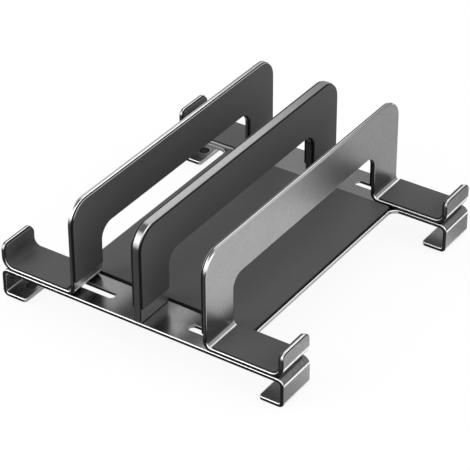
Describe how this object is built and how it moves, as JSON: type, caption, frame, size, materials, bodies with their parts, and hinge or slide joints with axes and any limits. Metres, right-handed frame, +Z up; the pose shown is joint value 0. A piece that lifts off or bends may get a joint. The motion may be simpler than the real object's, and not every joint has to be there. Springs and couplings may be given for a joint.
{
  "type": "vertical laptop stand",
  "caption": "Vertical laptop stand: a folded H-shaped base with a fixed middle divider and arched, padded side brackets that slide and end in upturned hooks.",
  "frame": {"origin": "on the table, at the underside of the rubber feet, under the middle of the stand", "axes": "+X to the right along the crossbars, +Y from front to back along the bays, +Z up"},
  "size_m": [0.2, 0.212, 0.0837],
  "materials": {
    "metal": "dark grey, satin anodised, with bright broken edges",
    "pad": "matt dark grey silicone",
    "screw": "plain steel",
    "foot_rubber": "matt black"
  },
  "bodies": {
    "base": {"base_plate": "metal", "base_pad": "pad", "divider": "metal", "left_divider_pad": "pad", "right_divider_pad": "pad", "front_divider_screw": "screw", "rear_divider_screw": "screw", "left_front_rubber_foot": "foot_rubber", "left_rear_rubber_foot": "foot_rubber", "right_front_rubber_foot": "foot_rubber", "right_rear_rubber_foot": "foot_rubber"},
    "left_side": {"left_bracket": "metal", "left_fence_pad": "pad", "left_front_shelf_pad": "pad", "left_front_clamp_screw": "screw", "left_rear_shelf_pad": "pad", "left_rear_clamp_screw": "screw"},
    "right_side": {"right_bracket": "metal", "right_fence_pad": "pad", "right_front_shelf_pad": "pad", "right_front_clamp_screw": "screw", "right_rear_shelf_pad": "pad", "right_rear_clamp_screw": "screw"}
  },
  "joints": [
    {"name": "left_bracket_slide", "type": "slide", "parent": "base", "child": "left_side", "axis": [1, 0, 0], "range_m": [0, 0.0289]},
    {"name": "right_bracket_slide", "type": "slide", "parent": "base", "child": "right_side", "axis": [-1, 0, 0], "range_m": [0, 0.0289]}
  ]
}
